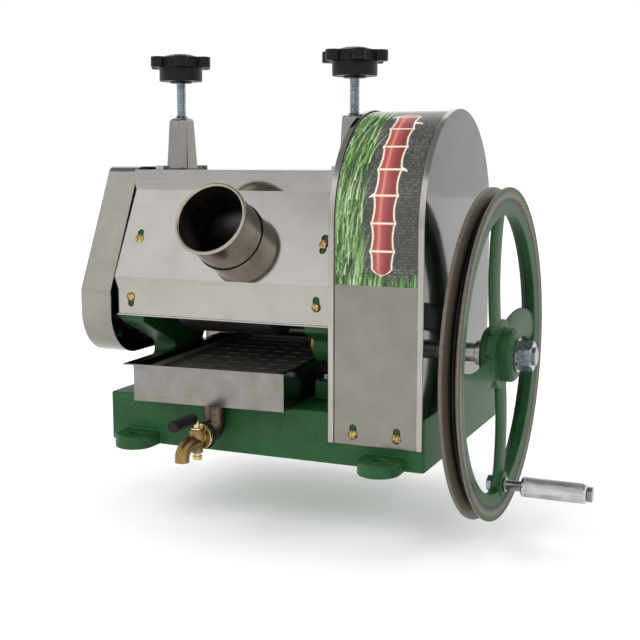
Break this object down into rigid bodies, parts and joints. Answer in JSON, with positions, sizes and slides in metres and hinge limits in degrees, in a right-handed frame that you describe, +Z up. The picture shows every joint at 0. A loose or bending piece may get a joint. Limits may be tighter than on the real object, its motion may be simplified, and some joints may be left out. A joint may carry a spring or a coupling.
{
  "type": "manual sugarcane juicer",
  "caption": "Hand-cranked three-roller sugarcane mill with feed tube, geared covers, pressure knobs, juice tray and tap.",
  "frame": {"origin": "centre of the four bolt holes in the base's lugs, on the underside of the base", "axes": "+X towards the crank wheel, +Y away from the user, +Z up"},
  "size_m": [0.4941, 0.3656, 0.4214],
  "materials": {
    "green_enamel": "gloss enamel over a smooth casting",
    "wheel_green": "gloss enamel, worn off the rim",
    "stainless": "brushed, warm light grey",
    "roller_steel": "turned",
    "gear_steel": "machined, lightly oiled",
    "bronze": "turned bronze",
    "zinc": "blue-white zinc plate",
    "yellow_zinc": "yellow zinc plate",
    "black_bakelite": "moulded, semi-gloss",
    "chrome": "knurled and plated",
    "tap_brass": "cast and turned, slightly dull",
    "black_vinyl": "soft dipped grip"
  },
  "bodies": {
    "machine": {"base_casting": "green_enamel", "left_side_frame": "green_enamel", "right_side_frame": "green_enamel", "frame_foot_bolts": "zinc", "left_bearing_cap": "green_enamel", "right_bearing_cap": "green_enamel", "cap_bolts": "zinc", "left_bearing_block": "gear_steel", "right_bearing_block": "gear_steel", "roller_bushes": "bronze", "shaft_bushes": "bronze", "tie_rods": "roller_steel", "tie_rod_nuts": "zinc", "return_plate": "stainless", "front_plate": "stainless", "rear_plate": "stainless", "top_plate": "stainless", "feed_tube": "stainless", "discharge_chute": "stainless", "left_gear_cover": "stainless", "cover_studs": "roller_steel", "arch_inner_plate": "stainless", "arch_outer_plate": "stainless", "arch_band": "stainless", "sheet_screws": "yellow_zinc", "left_screw_sleeve": "stainless", "right_screw_sleeve": "stainless"},
    "crank": {"crank_shaft": "roller_steel", "pinion_gear": "gear_steel", "pinion_key": "roller_steel", "shaft_collar": "roller_steel", "crank_wheel": "wheel_green", "hub_washer": "black_bakelite", "hub_nut": "zinc", "handle_spindle": "roller_steel", "handle_nut": "zinc"},
    "grip": {"handle_grip": "chrome"},
    "top_mill_roller": {"top_roller": "roller_steel", "top_roller_gear": "gear_steel", "drive_gear": "gear_steel", "drive_gear_nut": "gear_steel"},
    "front_mill_roller": {"front_roller": "roller_steel", "front_roller_gear": "gear_steel"},
    "rear_mill_roller": {"rear_roller": "roller_steel", "rear_roller_gear": "gear_steel"},
    "left_pad": {"left_pressure_pad": "roller_steel"},
    "right_pad": {"right_pressure_pad": "roller_steel"},
    "left_adjuster": {"left_adjusting_screw": "zinc", "left_star_knob": "black_bakelite"},
    "right_adjuster": {"right_adjusting_screw": "zinc", "right_star_knob": "black_bakelite"},
    "tray": {"juice_tray": "stainless", "strainer_plate": "stainless", "tap_nipple": "stainless", "tap_gasket": "black_vinyl", "tap_body": "tap_brass"},
    "tap_lever": {"tap_plug": "tap_brass", "tap_plug_nut": "yellow_zinc", "lever_grip": "black_vinyl"}
  },
  "joints": [
    {"name": "crank_spin", "type": "hinge", "parent": "machine", "child": "crank", "pos_m": [0.1, -0.063, 0.09967], "axis": [1, 0, 0], "continuous": true},
    {"name": "grip_spin", "type": "hinge", "parent": "crank", "child": "grip", "pos_m": [0.26, -0.05389, -0.02148], "axis": [1, 0, 0], "continuous": true},
    {"name": "top_roller_spin", "type": "hinge", "parent": "machine", "child": "top_mill_roller", "pos_m": [-0.041, -0.016, 0.206], "axis": [1, 0, 0], "continuous": true},
    {"name": "front_roller_spin", "type": "hinge", "parent": "machine", "child": "front_mill_roller", "pos_m": [-0.041, -0.058, 0.14027], "axis": [1, 0, 0], "continuous": true},
    {"name": "rear_roller_spin", "type": "hinge", "parent": "machine", "child": "rear_mill_roller", "pos_m": [-0.041, 0.026, 0.14027], "axis": [1, 0, 0], "continuous": true},
    {"name": "left_pad_lift", "type": "slide", "parent": "machine", "child": "left_pad", "axis": [0, 0, 1], "range_m": [0, 0.009]},
    {"name": "left_knob_turn", "type": "hinge", "parent": "left_pad", "child": "left_adjuster", "pos_m": [-0.1378, -0.016, 0.3], "axis": [0, 0, 1], "range_deg": [0, 2160]},
    {"name": "right_pad_lift", "type": "slide", "parent": "machine", "child": "right_pad", "axis": [0, 0, 1], "range_m": [0, 0.009]},
    {"name": "right_knob_turn", "type": "hinge", "parent": "right_pad", "child": "right_adjuster", "pos_m": [0.0515, -0.016, 0.3], "axis": [0, 0, 1], "range_deg": [0, 2160]},
    {"name": "tray_slide", "type": "slide", "parent": "machine", "child": "tray", "axis": [0.0628, -0.998, 0], "range_m": [0, 0.18]},
    {"name": "tap_lever_turn", "type": "hinge", "parent": "tray", "child": "tap_lever", "pos_m": [-0.04461, -0.15779, 0.0205], "axis": [0, 0, 1], "range_deg": [0, 90]}
  ],
  "couplings": [
    {"joint": "top_roller_spin", "follows": "crank_spin", "ratio": -0.32857},
    {"joint": "front_roller_spin", "follows": "crank_spin", "ratio": 0.32857},
    {"joint": "rear_roller_spin", "follows": "crank_spin", "ratio": 0.32857},
    {"joint": "left_knob_turn", "follows": "left_pad_lift", "rad_per_m": 4188.8},
    {"joint": "right_knob_turn", "follows": "right_pad_lift", "rad_per_m": 4188.8}
  ]
}
